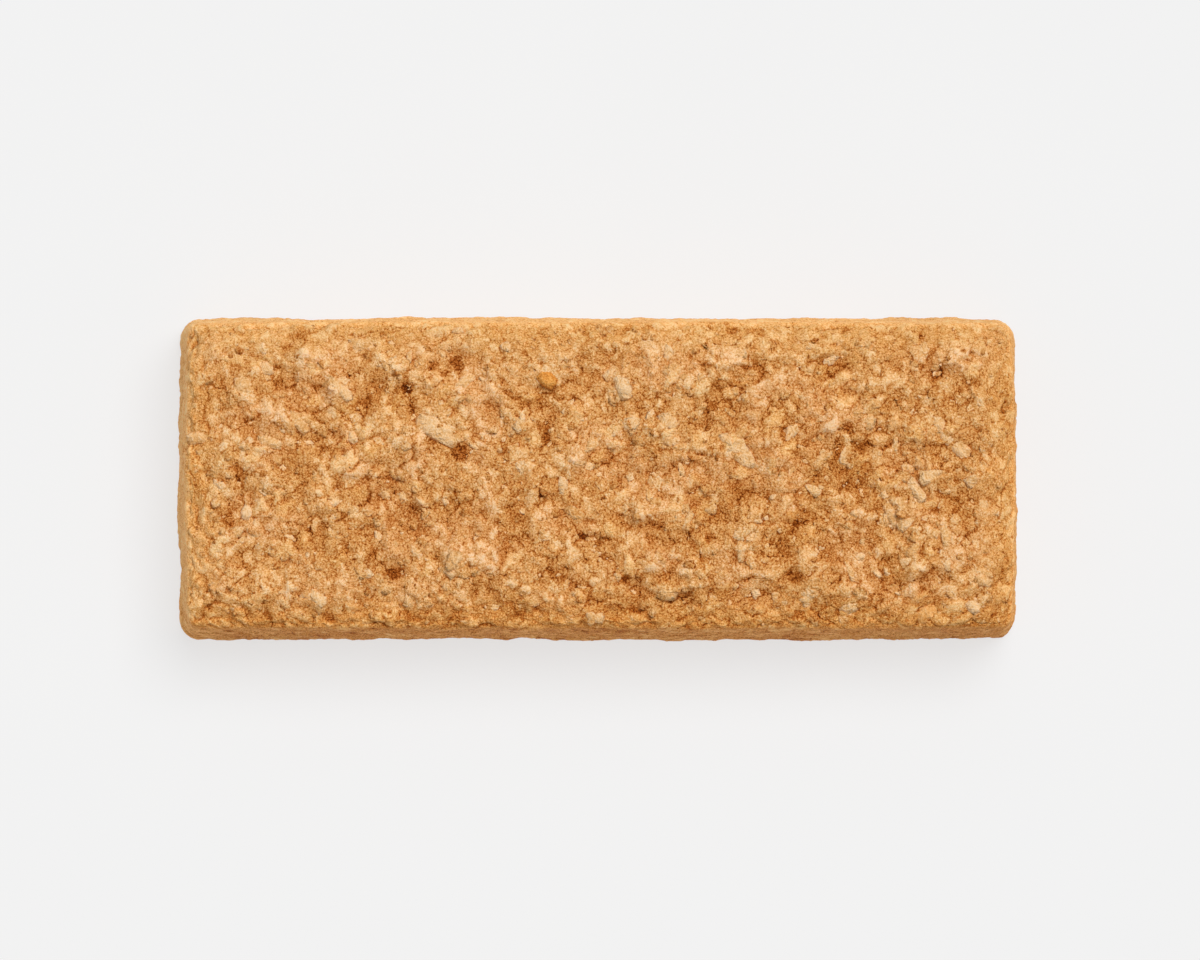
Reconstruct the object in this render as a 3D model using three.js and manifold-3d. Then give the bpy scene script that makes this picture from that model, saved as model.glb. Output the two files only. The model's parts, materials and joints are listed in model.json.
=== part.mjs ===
// A baked granola bar in millimetres: one block of toasted oat crumb that lies flat on its underside.
// X runs along the bar, Y across it and Z up. The origin is the middle of the underside.
// The block is a grid of points whose outline, walls and shoulder come from the sizes below. Its crumb relief
// is added along the surface, and the larger oat flakes and nut chips are then fused on.
import * as THREE from "three";
import { mergeVertices } from "three/addons/utils/BufferGeometryUtils.js";
import Module from "manifold-3d";

// Overall size of the bar
const LENGTH = 100;
const WIDTH = 38.7;
const HEIGHT = 16; // up to the highest crumb

// Outline and walls
const WALL_LEAN = 1.1; // how far each wall comes in between the foot and the shoulder
const CORNER_RADIUS = 1.5; // upright corners of the top, seen from above
const END_BOW = 0.35; // how far the middle of each end stands out past its corners
const SIDE_BOW = 0.15; // the same for the long sides
const SHOULDER_RADIUS = 1.0; // tight turn from the top into the wall
const FOOT_RADIUS = 0.7; // turn from the wall into the underside
const TOP_LEVEL = 15; // mean height of the middle of the top
const CROWN_REACH = 6; // the top starts to fall this far in from its rim
const CROWN_DROP = 0.9; // how far it has fallen at the rim

// Crumb relief: height from trough to crest, and the size of one lump
const SWELL = { height: 0.8, size: 11 };
const CLUMP = { height: 1.3, size: 4.2 };
const CRUMB = { height: 0.6, size: 2.2 };
const LEAST_LUMP = 0.45; // the lowest lump's crest over the highest one's
const RIM_CALM = 0.55; // share of the relief that is left where the rim was pressed smooth
const WALL_CALM = 0.45; // share of the relief that is left on the walls

// Spacing of the grid
const TOP_PITCH = 1.3;
const TOP_JITTER = 0.22; // share of the pitch by which inner points stray, so that the crumb shows no rows
const WALL_ROWS = 4;
const SHOULDER_ANGLES = [0, 35, 62, 90].map(THREE.MathUtils.degToRad);
const FOOT_ANGLES = [45, 90].map(THREE.MathUtils.degToRad);

// Hollows in the top: middle x and y, half length, half width, depth, and turn of the long axis in degrees
const HOLLOWS = [
  [-28.5, 8.5, 2.3, 1.6, 1.3, 20],
  [-22.5, 10.2, 1.5, 1.2, 1.1, -30],
  [1.2, 14.3, 1.4, 1.2, 0.7, 0],
  [3.4, 12.5, 1.6, 1.3, 0.9, 0],
  [12.3, 15.1, 3.0, 0.9, 1.2, 30],
  [16.9, 12.5, 1.8, 1.2, 0.8, 10],
  [25.3, 13.5, 3.4, 1.2, 0.8, -8],
  [39.7, 12.1, 1.7, 1.3, 0.9, 0],
  [27.9, 9.3, 2.6, 1.1, 0.7, -15],
  [30.6, 0.0, 2.2, 1.3, 0.9, -10],
  [-6.4, -2.8, 1.9, 1.4, 1.1, 10],
  [-21.7, -4.3, 2.6, 1.9, 1.2, -35],
  [-25.1, -1.4, 1.6, 1.0, 0.6, -25],
  [25.1, -8.2, 2.3, 1.3, 1.1, -40],
  [-35.9, -7.5, 2.4, 1.0, 0.8, 15],
  [8.0, -15.1, 4.6, 1.3, 0.8, 4],
  [16.5, -14.3, 3.4, 1.2, 0.8, 12],
  [-45.9, 4.5, 1.5, 1.1, 0.7, 80],
  [-14.2, -13.7, 1.5, 1.1, 0.7, 0],
  [37.9, 2.1, 2.4, 1.0, 0.6, -20],
  [-2.8, -6.9, 3.2, 1.0, 0.6, 5],
];

const SHAPED_FROM = 2; // hollows and mounds fade out over this much of the rim

// Mounds on the top, in the same terms, with a height in place of the depth
const MOUNDS = [
  [-23.9, 4.7, 5.6, 3.0, 0.7, -35],
  [31.0, 6.4, 4.8, 3.4, 0.7, 10],
  [-6.6, 0.6, 2.8, 2.2, 0.5, 80],
  [16.9, -7.2, 3.2, 2.4, 0.5, -20],
  [-15.9, -10.2, 3.6, 2.2, 0.6, 10],
  [1.6, -10.8, 2.6, 1.8, 0.5, 25],
  [25.9, -11.2, 3.4, 2.0, 0.6, -35],
  [-34.1, -13.2, 3.4, 2.2, 0.6, -15],
  [-40.0, 0.3, 2.6, 1.8, 0.5, 15],
  [-30.7, 10.5, 2.4, 1.5, 0.5, -50],
  [13.9, 12.9, 3.4, 2.0, 0.7, 30],
  [39.2, -7.8, 3.0, 2.2, 0.4, 70],
];

// Pale pieces that stand out on the top: middle x and y, length, width, and turn in degrees
const SHOWN_FLAKES = [
  [-19.2, 5.3, 4.6, 2.9, -28],
  [16.1, 2.7, 3.2, 1.5, -62],
  [2.8, 10.3, 1.9, 2.2, 20],
  [37.2, -1.5, 2.9, 1.3, -65],
  [38.7, -0.4, 2.6, 1.9, 5],
  [35.3, -5.0, 2.3, 1.6, 25],
  [-41.5, -4.4, 1.7, 2.3, 0],
  [-33.3, -14.4, 2.0, 1.8, -40],
  [-6.3, 11.2, 2.5, 2.0, -30],
  [42.6, 2.1, 1.6, 2.1, 10],
  [-31.0, 10.3, 2.8, 1.6, -48],
  [-17.2, -10.1, 2.0, 2.6, -10],
  [10.2, -5.6, 1.2, 2.6, -22],
  [29.1, -11.5, 1.3, 2.6, 25],
  [41.2, -10.9, 1.8, 1.3, 0],
  [-0.8, -16.7, 2.1, 1.6, -10],
  [13.3, 14.6, 3.2, 1.3, 30],
];
const FLAKE_THICKNESS = 1.5;

// Further flakes, scattered over the top and the long walls
const SCATTER_SEED = 2411;
const TOP_FLAKES = 46;
const TOP_FLAKE_LENGTH = { least: 2, most: 4.2 };
const TOP_FLAKE_GAP = 1.1; // clear space from one flake to the next
const TOP_FLAKE_INSET = 3.6; // no scattered flake's middle comes nearer to the rim
const WALL_FLAKES = 14;
const WALL_FLAKE_LENGTH = { least: 1.6, most: 3 };
const WALL_FLAKE_INSET = 6; // from the corners
const WALL_FLAKE_LEVELS = { least: 3, most: 10.5 };
const WALL_FLAKE_TURN = 40; // spread of their turns from level, in degrees
const WALL_FLAKE_SINK = 0.25; // how much deeper than on the top they were pressed in
const FLAKE_SLENDERNESS = { least: 0.5, most: 0.85 }; // width over length
const FLAKE_SWELL = { least: 0.82, most: 1.18 }; // how much a flake's corners stray in and out
const FLAKE_TILT = 14; // most tilt of a flake out of the surface, in degrees
const FLAKE_SINK = 0.12; // how far a flake's middle lies under the surface

// Finish of the crumb
const CRUST_COLOUR = 0xce9257;
const CRUST_ROUGHNESS = 0.82;

const { clamp, lerp, smoothstep, degToRad } = THREE.MathUtils;

// Half sizes of the top's flat outline, where the shoulder meets the wall, and the height of that turn
const TOP_HALF = { x: LENGTH / 2 - WALL_LEAN - END_BOW, y: WIDTH / 2 - WALL_LEAN - SIDE_BOW };
const TOP_OF_WALL = TOP_LEVEL - CROWN_DROP - SHOULDER_RADIUS;

// A stream of random numbers from 0 to 1 that is the same on every run.
function randomStream(seed) {
  let state = seed;
  return () => {
    state = (state + 0x6d2b79f5) | 0;
    let mixed = Math.imul(state ^ (state >>> 15), 1 | state);
    mixed = (mixed + Math.imul(mixed ^ (mixed >>> 7), 61 | mixed)) ^ mixed;
    return ((mixed ^ (mixed >>> 14)) >>> 0) / 2 ** 32;
  };
}

// A fixed random number from 0 to 1 for each whole-number cell of space.
function cellRandom(i, j, k, salt = 0) {
  return randomStream(Math.imul(i, 73856093) ^ Math.imul(j, 19349663) ^ Math.imul(k, 83492791) ^ salt)();
}

// Smooth noise from -1 to 1 that changes over about one unit.
function softNoise(x, y, z) {
  const cell = [x, y, z].map(Math.floor);
  const [u, v, w] = [x, y, z].map((value, axis) => smoothstep(value - cell[axis], 0, 1));
  const corner = (i, j, k) => cellRandom(cell[0] + i, cell[1] + j, cell[2] + k);
  const layer = (k) =>
    lerp(lerp(corner(0, 0, k), corner(1, 0, k), u), lerp(corner(0, 1, k), corner(1, 1, k), u), v);
  return 2 * lerp(layer(0), layer(1), w) - 1;
}

// Rounded lumps from -1 to 1, one for each cell, with creases where two lumps meet.
function lumpNoise(x, y, z) {
  const cell = [x, y, z].map(Math.floor);
  let crest = 0;
  for (let i = -1; i <= 1; i++)
    for (let j = -1; j <= 1; j++)
      for (let k = -1; k <= 1; k++) {
        const at = [cell[0] + i, cell[1] + j, cell[2] + k];
        const middle = at.map((value, axis) => value + cellRandom(...at, axis + 1));
        const away = Math.hypot(x - middle[0], y - middle[1], z - middle[2]);
        const share = lerp(LEAST_LUMP, 1, cellRandom(...at, at.length + 1));
        crest = Math.max(crest, share * (1 - away * away));
      }
  return 2 * crest - 1;
}

// Height of the crumb's lumps over its mean surface at a point, in millimetres.
function crumbRelief({ x, y, z }) {
  const scaled = (form, noise) => (form.height / 2) * noise(x / form.size, y / form.size, z / form.size);
  return scaled(SWELL, softNoise) + scaled(CLUMP, lumpNoise) + scaled(CRUMB, softNoise);
}

// Sum at a point of the smooth bumps in a list of hollows or mounds.
function bumps(list, x, y) {
  let sum = 0;
  for (const [middleX, middleY, halfLength, halfWidth, height, turn] of list) {
    const angle = degToRad(turn);
    const along = (x - middleX) * Math.cos(angle) + (y - middleY) * Math.sin(angle);
    const across = (y - middleY) * Math.cos(angle) - (x - middleX) * Math.sin(angle);
    sum += height * Math.exp(-((along / halfLength) ** 2) - (across / halfWidth) ** 2);
  }
  return sum;
}

// How far the top has fallen at a distance in from its rim: the broad crown, and then the tight shoulder.
function rimFall(inward) {
  const crown = CROWN_DROP * Math.max(0, 1 - inward / CROWN_REACH) ** 2;
  const toShoulder = Math.max(0, SHOULDER_RADIUS - inward);
  return crown + SHOULDER_RADIUS - Math.sqrt(SHOULDER_RADIUS ** 2 - toShoulder ** 2);
}

// Height of the finished top over the underside at a place in plan.
function topHeight(x, y, inward) {
  const calm = lerp(RIM_CALM, 1, smoothstep(inward, 0, CROWN_REACH));
  const relief = calm * crumbRelief({ x, y, z: TOP_LEVEL });
  const shaped = smoothstep(inward, 0, SHAPED_FROM) * (bumps(MOUNDS, x, y) - bumps(HOLLOWS, x, y));
  return TOP_LEVEL - rimFall(inward) + shaped + (inward > 0 ? relief : 0);
}

// Places along one axis of the top's grid: close together on the shoulder and even between.
function stations(half) {
  const rim = SHOULDER_ANGLES.map((angle) => half - SHOULDER_RADIUS * (1 - Math.cos(angle)));
  const inner = half - SHOULDER_RADIUS;
  const steps = Math.round((2 * inner) / TOP_PITCH);
  const middle = Array.from({ length: steps - 1 }, (_, n) => inner - (2 * inner * (n + 1)) / steps);
  return [...rim, ...middle, ...rim.map((place) => -place).reverse()].reverse();
}

// Moves a place in the top's rectangle to the outline with round corners and bowed sides.
// Returns the place, and the outward direction of the outline that belongs to it.
function onOutline(x, y) {
  const side = { x: Math.sign(x) || 1, y: Math.sign(y) || 1 };
  const past = {
    x: Math.max(0, Math.abs(x) - TOP_HALF.x + CORNER_RADIUS),
    y: Math.max(0, Math.abs(y) - TOP_HALF.y + CORNER_RADIUS),
  };
  const rounded = (along, across) => along * Math.sqrt(1 - across ** 2 / (2 * CORNER_RADIUS ** 2));
  const turned = { x: rounded(past.x, past.y), y: rounded(past.y, past.x) };
  const placed = new THREE.Vector2(x + side.x * (turned.x - past.x), y + side.y * (turned.y - past.y));
  const outward = new THREE.Vector2(side.x * turned.x, side.y * turned.y);
  placed.x += END_BOW * (1 - (y / TOP_HALF.y) ** 2) * (x / TOP_HALF.x);
  placed.y += SIDE_BOW * (1 - (x / TOP_HALF.x) ** 2) * (y / TOP_HALF.y);
  return { placed, outward: outward.lengthSq() > 0 ? outward.normalize() : outward };
}

// How far the wall stands out past the top's outline at a height.
function wallOut(z) {
  return WALL_LEAN * (1 - z / TOP_OF_WALL);
}

// Levels of the wall from the shoulder down: height, and how far out past the top's outline it stands.
function wallLevels() {
  const levels = [];
  for (let row = 1; row <= WALL_ROWS; row++) {
    const z = lerp(TOP_OF_WALL, FOOT_RADIUS, row / WALL_ROWS);
    levels.push({ z, out: wallOut(z) });
  }
  for (const angle of FOOT_ANGLES) {
    const z = FOOT_RADIUS * (1 - Math.sin(angle));
    levels.push({ z, out: wallOut(FOOT_RADIUS) - FOOT_RADIUS * (1 - Math.cos(angle)) });
  }
  return levels;
}

// The block of crumb, before any flake is fused on.
function blockGeometry() {
  const random = randomStream(SCATTER_SEED + 1);
  const xs = stations(TOP_HALF.x);
  const ys = stations(TOP_HALF.y);
  const points = [];
  const ring = [];
  const topIndex = (i, j) => i * ys.length + j;

  const stray = (list, n) => {
    const free = Math.min(list[n + 1] - list[n], list[n] - list[n - 1]);
    return (random() - 0.5) * 2 * TOP_JITTER * free;
  };
  for (let i = 0; i < xs.length; i++)
    for (let j = 0; j < ys.length; j++) {
      const inner = i > 0 && j > 0 && i < xs.length - 1 && j < ys.length - 1;
      const x = xs[i] + (inner ? stray(xs, i) : 0);
      const y = ys[j] + (inner ? stray(ys, j) : 0);
      const inward = inner ? Math.min(TOP_HALF.x - Math.abs(x), TOP_HALF.y - Math.abs(y)) : 0;
      const { placed } = onOutline(x, y);
      points.push(new THREE.Vector3(placed.x, placed.y, topHeight(placed.x, placed.y, inward)));
    }

  // The rim of the top, anticlockwise from the corner at low x and low y
  const lastX = xs.length - 1;
  const lastY = ys.length - 1;
  for (let i = 0; i < lastX; i++) ring.push([i, 0]);
  for (let j = 0; j < lastY; j++) ring.push([lastX, j]);
  for (let i = lastX; i > 0; i--) ring.push([i, lastY]);
  for (let j = lastY; j > 0; j--) ring.push([0, j]);

  const triangles = [];
  const quad = (a, b, c, d) => triangles.push(a, b, c, a, c, d);
  for (let i = 0; i < lastX; i++)
    for (let j = 0; j < lastY; j++)
      quad(topIndex(i, j), topIndex(i + 1, j), topIndex(i + 1, j + 1), topIndex(i, j + 1));

  let above = ring.map(([i, j]) => topIndex(i, j));
  const rim = ring.map(([i, j]) => onOutline(xs[i], ys[j]));
  for (const { z, out } of wallLevels()) {
    const below = rim.map(({ placed, outward }) => {
      const mean = new THREE.Vector3(placed.x + outward.x * out, placed.y + outward.y * out, z);
      const relief = WALL_CALM * crumbRelief(mean);
      points.push(new THREE.Vector3(mean.x + outward.x * relief, mean.y + outward.y * relief, z));
      return points.length - 1;
    });
    ring.forEach((_, n) => {
      const next = (n + 1) % ring.length;
      quad(below[n], below[next], above[next], above[n]);
    });
    above = below;
  }

  // The flat underside
  const foot = above.map((n) => new THREE.Vector2(points[n].x, points[n].y));
  const faces = THREE.ShapeUtils.triangulateShape(foot, []);
  for (const [a, b, c] of faces) triangles.push(above[c], above[b], above[a]);

  return new THREE.BufferGeometry().setFromPoints(points).setIndex(triangles);
}

// A thin uneven flake with few faces, lying flat at the origin.
function flakeGeometry(length, width, random) {
  const loose = new THREE.IcosahedronGeometry(0.5, 0).deleteAttribute("normal").deleteAttribute("uv");
  const geometry = mergeVertices(loose);
  const position = geometry.getAttribute("position");
  for (let n = 0; n < position.count; n++) {
    const swell = lerp(FLAKE_SWELL.least, FLAKE_SWELL.most, random());
    const point = new THREE.Vector3().fromBufferAttribute(position, n).multiplyScalar(swell);
    position.setXYZ(n, point.x, point.y, point.z);
  }
  return geometry.scale(length, width, FLAKE_THICKNESS);
}

// A flake set half into the surface at a point, its flat side along the surface's outward direction.
function placedFlake({ point, outward, length, width, turn }, random) {
  const tilt = () => degToRad(FLAKE_TILT) * (2 * random() - 1);
  const lie = new THREE.Quaternion().setFromUnitVectors(new THREE.Vector3(0, 0, 1), outward);
  const spin = new THREE.Quaternion().setFromEuler(new THREE.Euler(tilt(), tilt(), degToRad(turn)));
  const middle = point.clone().addScaledVector(outward, -FLAKE_SINK);
  const pose = new THREE.Matrix4().compose(middle, lie.multiply(spin), new THREE.Vector3(1, 1, 1));
  return flakeGeometry(length, width, random).applyMatrix4(pose);
}

// Every flake's place and size: the ones that stand out, then the scattered ones, the longest first.
function flakePlaces(random) {
  const up = new THREE.Vector3(0, 0, 1);
  const onTop = (x, y) => {
    const inward = Math.min(TOP_HALF.x - Math.abs(x), TOP_HALF.y - Math.abs(y));
    return new THREE.Vector3(x, y, topHeight(x, y, inward));
  };
  const places = SHOWN_FLAKES.map(([x, y, length, width, turn]) => ({
    point: onTop(x, y), outward: up, length, width, turn,
  }));

  const between = ({ least, most }) => lerp(least, most, random());
  const spread = (half) => (2 * random() - 1) * (half - TOP_FLAKE_INSET);
  const lengths = Array.from({ length: TOP_FLAKES }, () => between(TOP_FLAKE_LENGTH)).sort((a, b) => b - a);
  for (const length of lengths) {
    const touches = (other) => other.point.distanceTo(point) < (other.length + length) / 2 + TOP_FLAKE_GAP;
    let point;
    do {
      point = onTop(spread(TOP_HALF.x), spread(TOP_HALF.y));
    } while (places.some(touches));
    const width = length * between(FLAKE_SLENDERNESS);
    places.push({ point, outward: up, length, width, turn: 360 * random() });
  }

  const wallHalf = TOP_HALF.x - WALL_FLAKE_INSET;
  for (let n = 0; n < WALL_FLAKES; n++) {
    const side = n % 2 ? 1 : -1;
    const x = lerp(-wallHalf, wallHalf, (n + random()) / WALL_FLAKES);
    const z = between(WALL_FLAKE_LEVELS);
    const { placed } = onOutline(x, side * TOP_HALF.y);
    const point = new THREE.Vector3(placed.x, placed.y + side * wallOut(z), z);
    point.y += side * (WALL_CALM * crumbRelief(point) - WALL_FLAKE_SINK);
    const length = between(WALL_FLAKE_LENGTH);
    const width = length * between(FLAKE_SLENDERNESS);
    const turn = WALL_FLAKE_TURN * (random() - 0.5);
    places.push({ point, outward: new THREE.Vector3(0, side, 0), length, width, turn });
  }
  return places;
}

// A closed geometry as a solid that can be joined.
function solidFrom(wasm, geometry) {
  return new wasm.Manifold(
    new wasm.Mesh({
      numProp: 3,
      vertProperties: new Float32Array(geometry.getAttribute("position").array),
      triVerts: new Uint32Array(geometry.index.array),
    }),
  );
}

// The block with its flakes fused on, as one closed geometry.
async function barGeometry() {
  const wasm = await Module();
  wasm.setup();
  const random = randomStream(SCATTER_SEED);
  let bar = solidFrom(wasm, blockGeometry());
  for (const place of flakePlaces(random)) bar = bar.add(solidFrom(wasm, placedFlake(place, random)));
  const mesh = bar.getMesh();
  const positions = Array.from({ length: mesh.numVert }, (_, n) =>
    new THREE.Vector3().fromArray(mesh.vertProperties, n * mesh.numProp),
  );
  return new THREE.BufferGeometry().setFromPoints(positions).setIndex([...mesh.triVerts]);
}

// Centres a geometry over the origin, stands it on Z = 0, and brings it to the overall size.
function fitToSize(geometry) {
  geometry.computeBoundingBox();
  const { min, max } = geometry.boundingBox;
  return geometry
    .translate(-(min.x + max.x) / 2, -(min.y + max.y) / 2, -min.z)
    .scale(LENGTH / (max.x - min.x), WIDTH / (max.y - min.y), HEIGHT / (max.z - min.z));
}

const crust = new THREE.MeshStandardMaterial({
  color: CRUST_COLOUR,
  roughness: CRUST_ROUGHNESS,
  metalness: 0,
  flatShading: true,
});
const bar = new THREE.Mesh(fitToSize(await barGeometry()), crust);
bar.name = "granola_bar";

const root = new THREE.Group();
root.add(bar);

export default root;
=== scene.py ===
"""A baked granola bar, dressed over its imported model: the pressed crumb, and the oats and nuts baked into it.

Every length is in metres. X runs along the bar, Y across it and Z up. The bar lies on Z = 0, as it was built.
"""
import json
import logging
import math
from collections.abc import Callable
from dataclasses import dataclass
from enum import Enum

import bmesh
import bpy
import numpy as np
from mathutils import Euler, Matrix, Vector
from mathutils.bvhtree import BVHTree

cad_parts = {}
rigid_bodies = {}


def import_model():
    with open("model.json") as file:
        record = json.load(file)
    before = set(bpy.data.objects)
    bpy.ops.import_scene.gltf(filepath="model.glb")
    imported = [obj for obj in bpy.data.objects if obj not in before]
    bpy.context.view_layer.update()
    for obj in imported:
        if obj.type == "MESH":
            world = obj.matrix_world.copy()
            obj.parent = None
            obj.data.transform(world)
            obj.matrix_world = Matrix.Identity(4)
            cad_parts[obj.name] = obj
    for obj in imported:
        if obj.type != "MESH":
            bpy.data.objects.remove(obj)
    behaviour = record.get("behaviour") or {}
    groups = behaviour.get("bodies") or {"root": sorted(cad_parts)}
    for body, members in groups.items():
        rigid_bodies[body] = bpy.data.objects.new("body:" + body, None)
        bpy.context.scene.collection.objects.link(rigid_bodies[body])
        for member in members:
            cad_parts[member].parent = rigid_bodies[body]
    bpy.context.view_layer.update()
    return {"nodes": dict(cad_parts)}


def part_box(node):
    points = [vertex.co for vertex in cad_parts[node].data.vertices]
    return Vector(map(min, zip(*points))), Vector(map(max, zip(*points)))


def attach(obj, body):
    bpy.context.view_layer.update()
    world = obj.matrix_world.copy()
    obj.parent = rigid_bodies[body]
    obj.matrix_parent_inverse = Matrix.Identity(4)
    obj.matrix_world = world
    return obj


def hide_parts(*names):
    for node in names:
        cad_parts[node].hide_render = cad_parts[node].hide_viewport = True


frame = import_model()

LOG = logging.getLogger("granola_bar")

CAD_NODE = "granola_bar"
BODY = "root"
MM = 0.001

# Names of what a surface carries from its modelling to its finish
LIE = "lie"  # which way the broad surface faces
RIM = "rim"  # 0 in the middle of the top to 1 at its rim and on the walls
WALL = "wall"  # 0 on the top to 1 on the walls
REST = "rest"  # the place before the crumb was raised, where its grains are worked out
PIT = "pit"  # depth of the open pits and cracks, in millimetres
BED = "bed"  # 1 where the crumb is pressed flat under a chip
CAVITY = "cavity"  # how far a point lies under the grains around it, in millimetres
HOLLOW = "hollow"  # how far it lies under the clumps around it, in millimetres
TONE = "tone"  # how pale a small piece is, from 0 to 1, or how much paler a broad part of the block
AMBER = "amber"  # how orange it is, from 0 to 1
CROWN = "crown"  # 1 on the flat top of a small piece to 0 low on its sides

TOP_LEVEL = 15 * MM  # the mean height of the top
FOLD_X = (30 * MM, 48 * MM)  # from where to where the patterns turn down towards the end walls
FOLD_Y = (2 * MM, 17 * MM)  # and towards the long walls
SLOPE_DRAW = (-0.8, -0.8, 0.0)  # how the top's slopes draw the patterns out
SHEET_ORIGIN = (12 * MM, 12 * MM, 0.0)

Colour = tuple[float, float, float]


def srgb(red: int, green: int, blue: int) -> Colour:
    """Gives the linear colour of three screen values from 0 to 255."""
    shares = (value / 255 for value in (red, green, blue))
    return tuple(s / 12.92 if s <= 0.04045 else ((s + 0.055) / 1.055) ** 2.4 for s in shares)


class Value:
    """An output socket that takes part in Python arithmetic. Each operator adds the node that works it out."""

    def __init__(self, graph: "Graph", socket: bpy.types.NodeSocket) -> None:
        """Wraps a socket of a graph."""
        self.graph = graph
        self.socket = socket

    @property
    def is_vector(self) -> bool:
        """Says whether the socket holds three numbers."""
        return self.socket.type in {"VECTOR", "RGBA"}

    def _join(self, operation: str, *sides: "Value | float | Colour", out: int | str = 0) -> "Value":
        """Adds the node for an operation on values, or on vectors where a side is one."""
        wide = any(side.is_vector if isinstance(side, Value) else isinstance(side, tuple) for side in sides)
        kind = "ShaderNodeVectorMath" if wide else "ShaderNodeMath"
        return self.graph.node(kind, {"operation": operation}, dict(enumerate(sides)), out)

    def __add__(self, other: "Value | float | Colour") -> "Value":
        """Adds."""
        return self._join("ADD", self, other)

    __radd__ = __add__

    def __sub__(self, other: "Value | float | Colour") -> "Value":
        """Subtracts."""
        return self._join("SUBTRACT", self, other)

    def __rsub__(self, other: "Value | float | Colour") -> "Value":
        """Subtracts this from a number or colour."""
        return self._join("SUBTRACT", other, self)

    def __mul__(self, other: "Value | float | Colour") -> "Value":
        """Multiplies."""
        return self._join("MULTIPLY", self, other)

    __rmul__ = __mul__

    def least(self, other: "Value | float") -> "Value":
        """Gives the smaller of this and another value."""
        return self._join("MINIMUM", self, other)

    def most(self, other: "Value | float") -> "Value":
        """Gives the larger of this and another value."""
        return self._join("MAXIMUM", self, other)

    def size(self) -> "Value":
        """Gives this value without its sign."""
        return self._join("ABSOLUTE", self)

    def dot(self, other: "Value | Colour") -> "Value":
        """Gives the dot product with another vector."""
        return self._join("DOT_PRODUCT", self, other, out="Value")

    def part(self, axis: int) -> "Value":
        """Gives one of a vector's three numbers."""
        return self.graph.node("ShaderNodeSeparateXYZ", {}, {0: self}, axis)

    def step(self, start: float, end: float) -> "Value":
        """Gives a smooth step from 0 to 1 as this value goes from start to end, or from 1 to 0 if end is less.

        Args:
            start: Where the step starts.
            end: Where it ends.

        Returns:
            The step.
        """
        low, high = sorted((start, end))
        span = (0.0, 1.0) if start < end else (1.0, 0.0)
        limits = {"From Min": low, "From Max": high, "To Min": span[0], "To Max": span[1]}
        settings = {"interpolation_type": "SMOOTHSTEP"}
        return self.graph.node("ShaderNodeMapRange", settings, {"Value": self, **limits})


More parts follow.
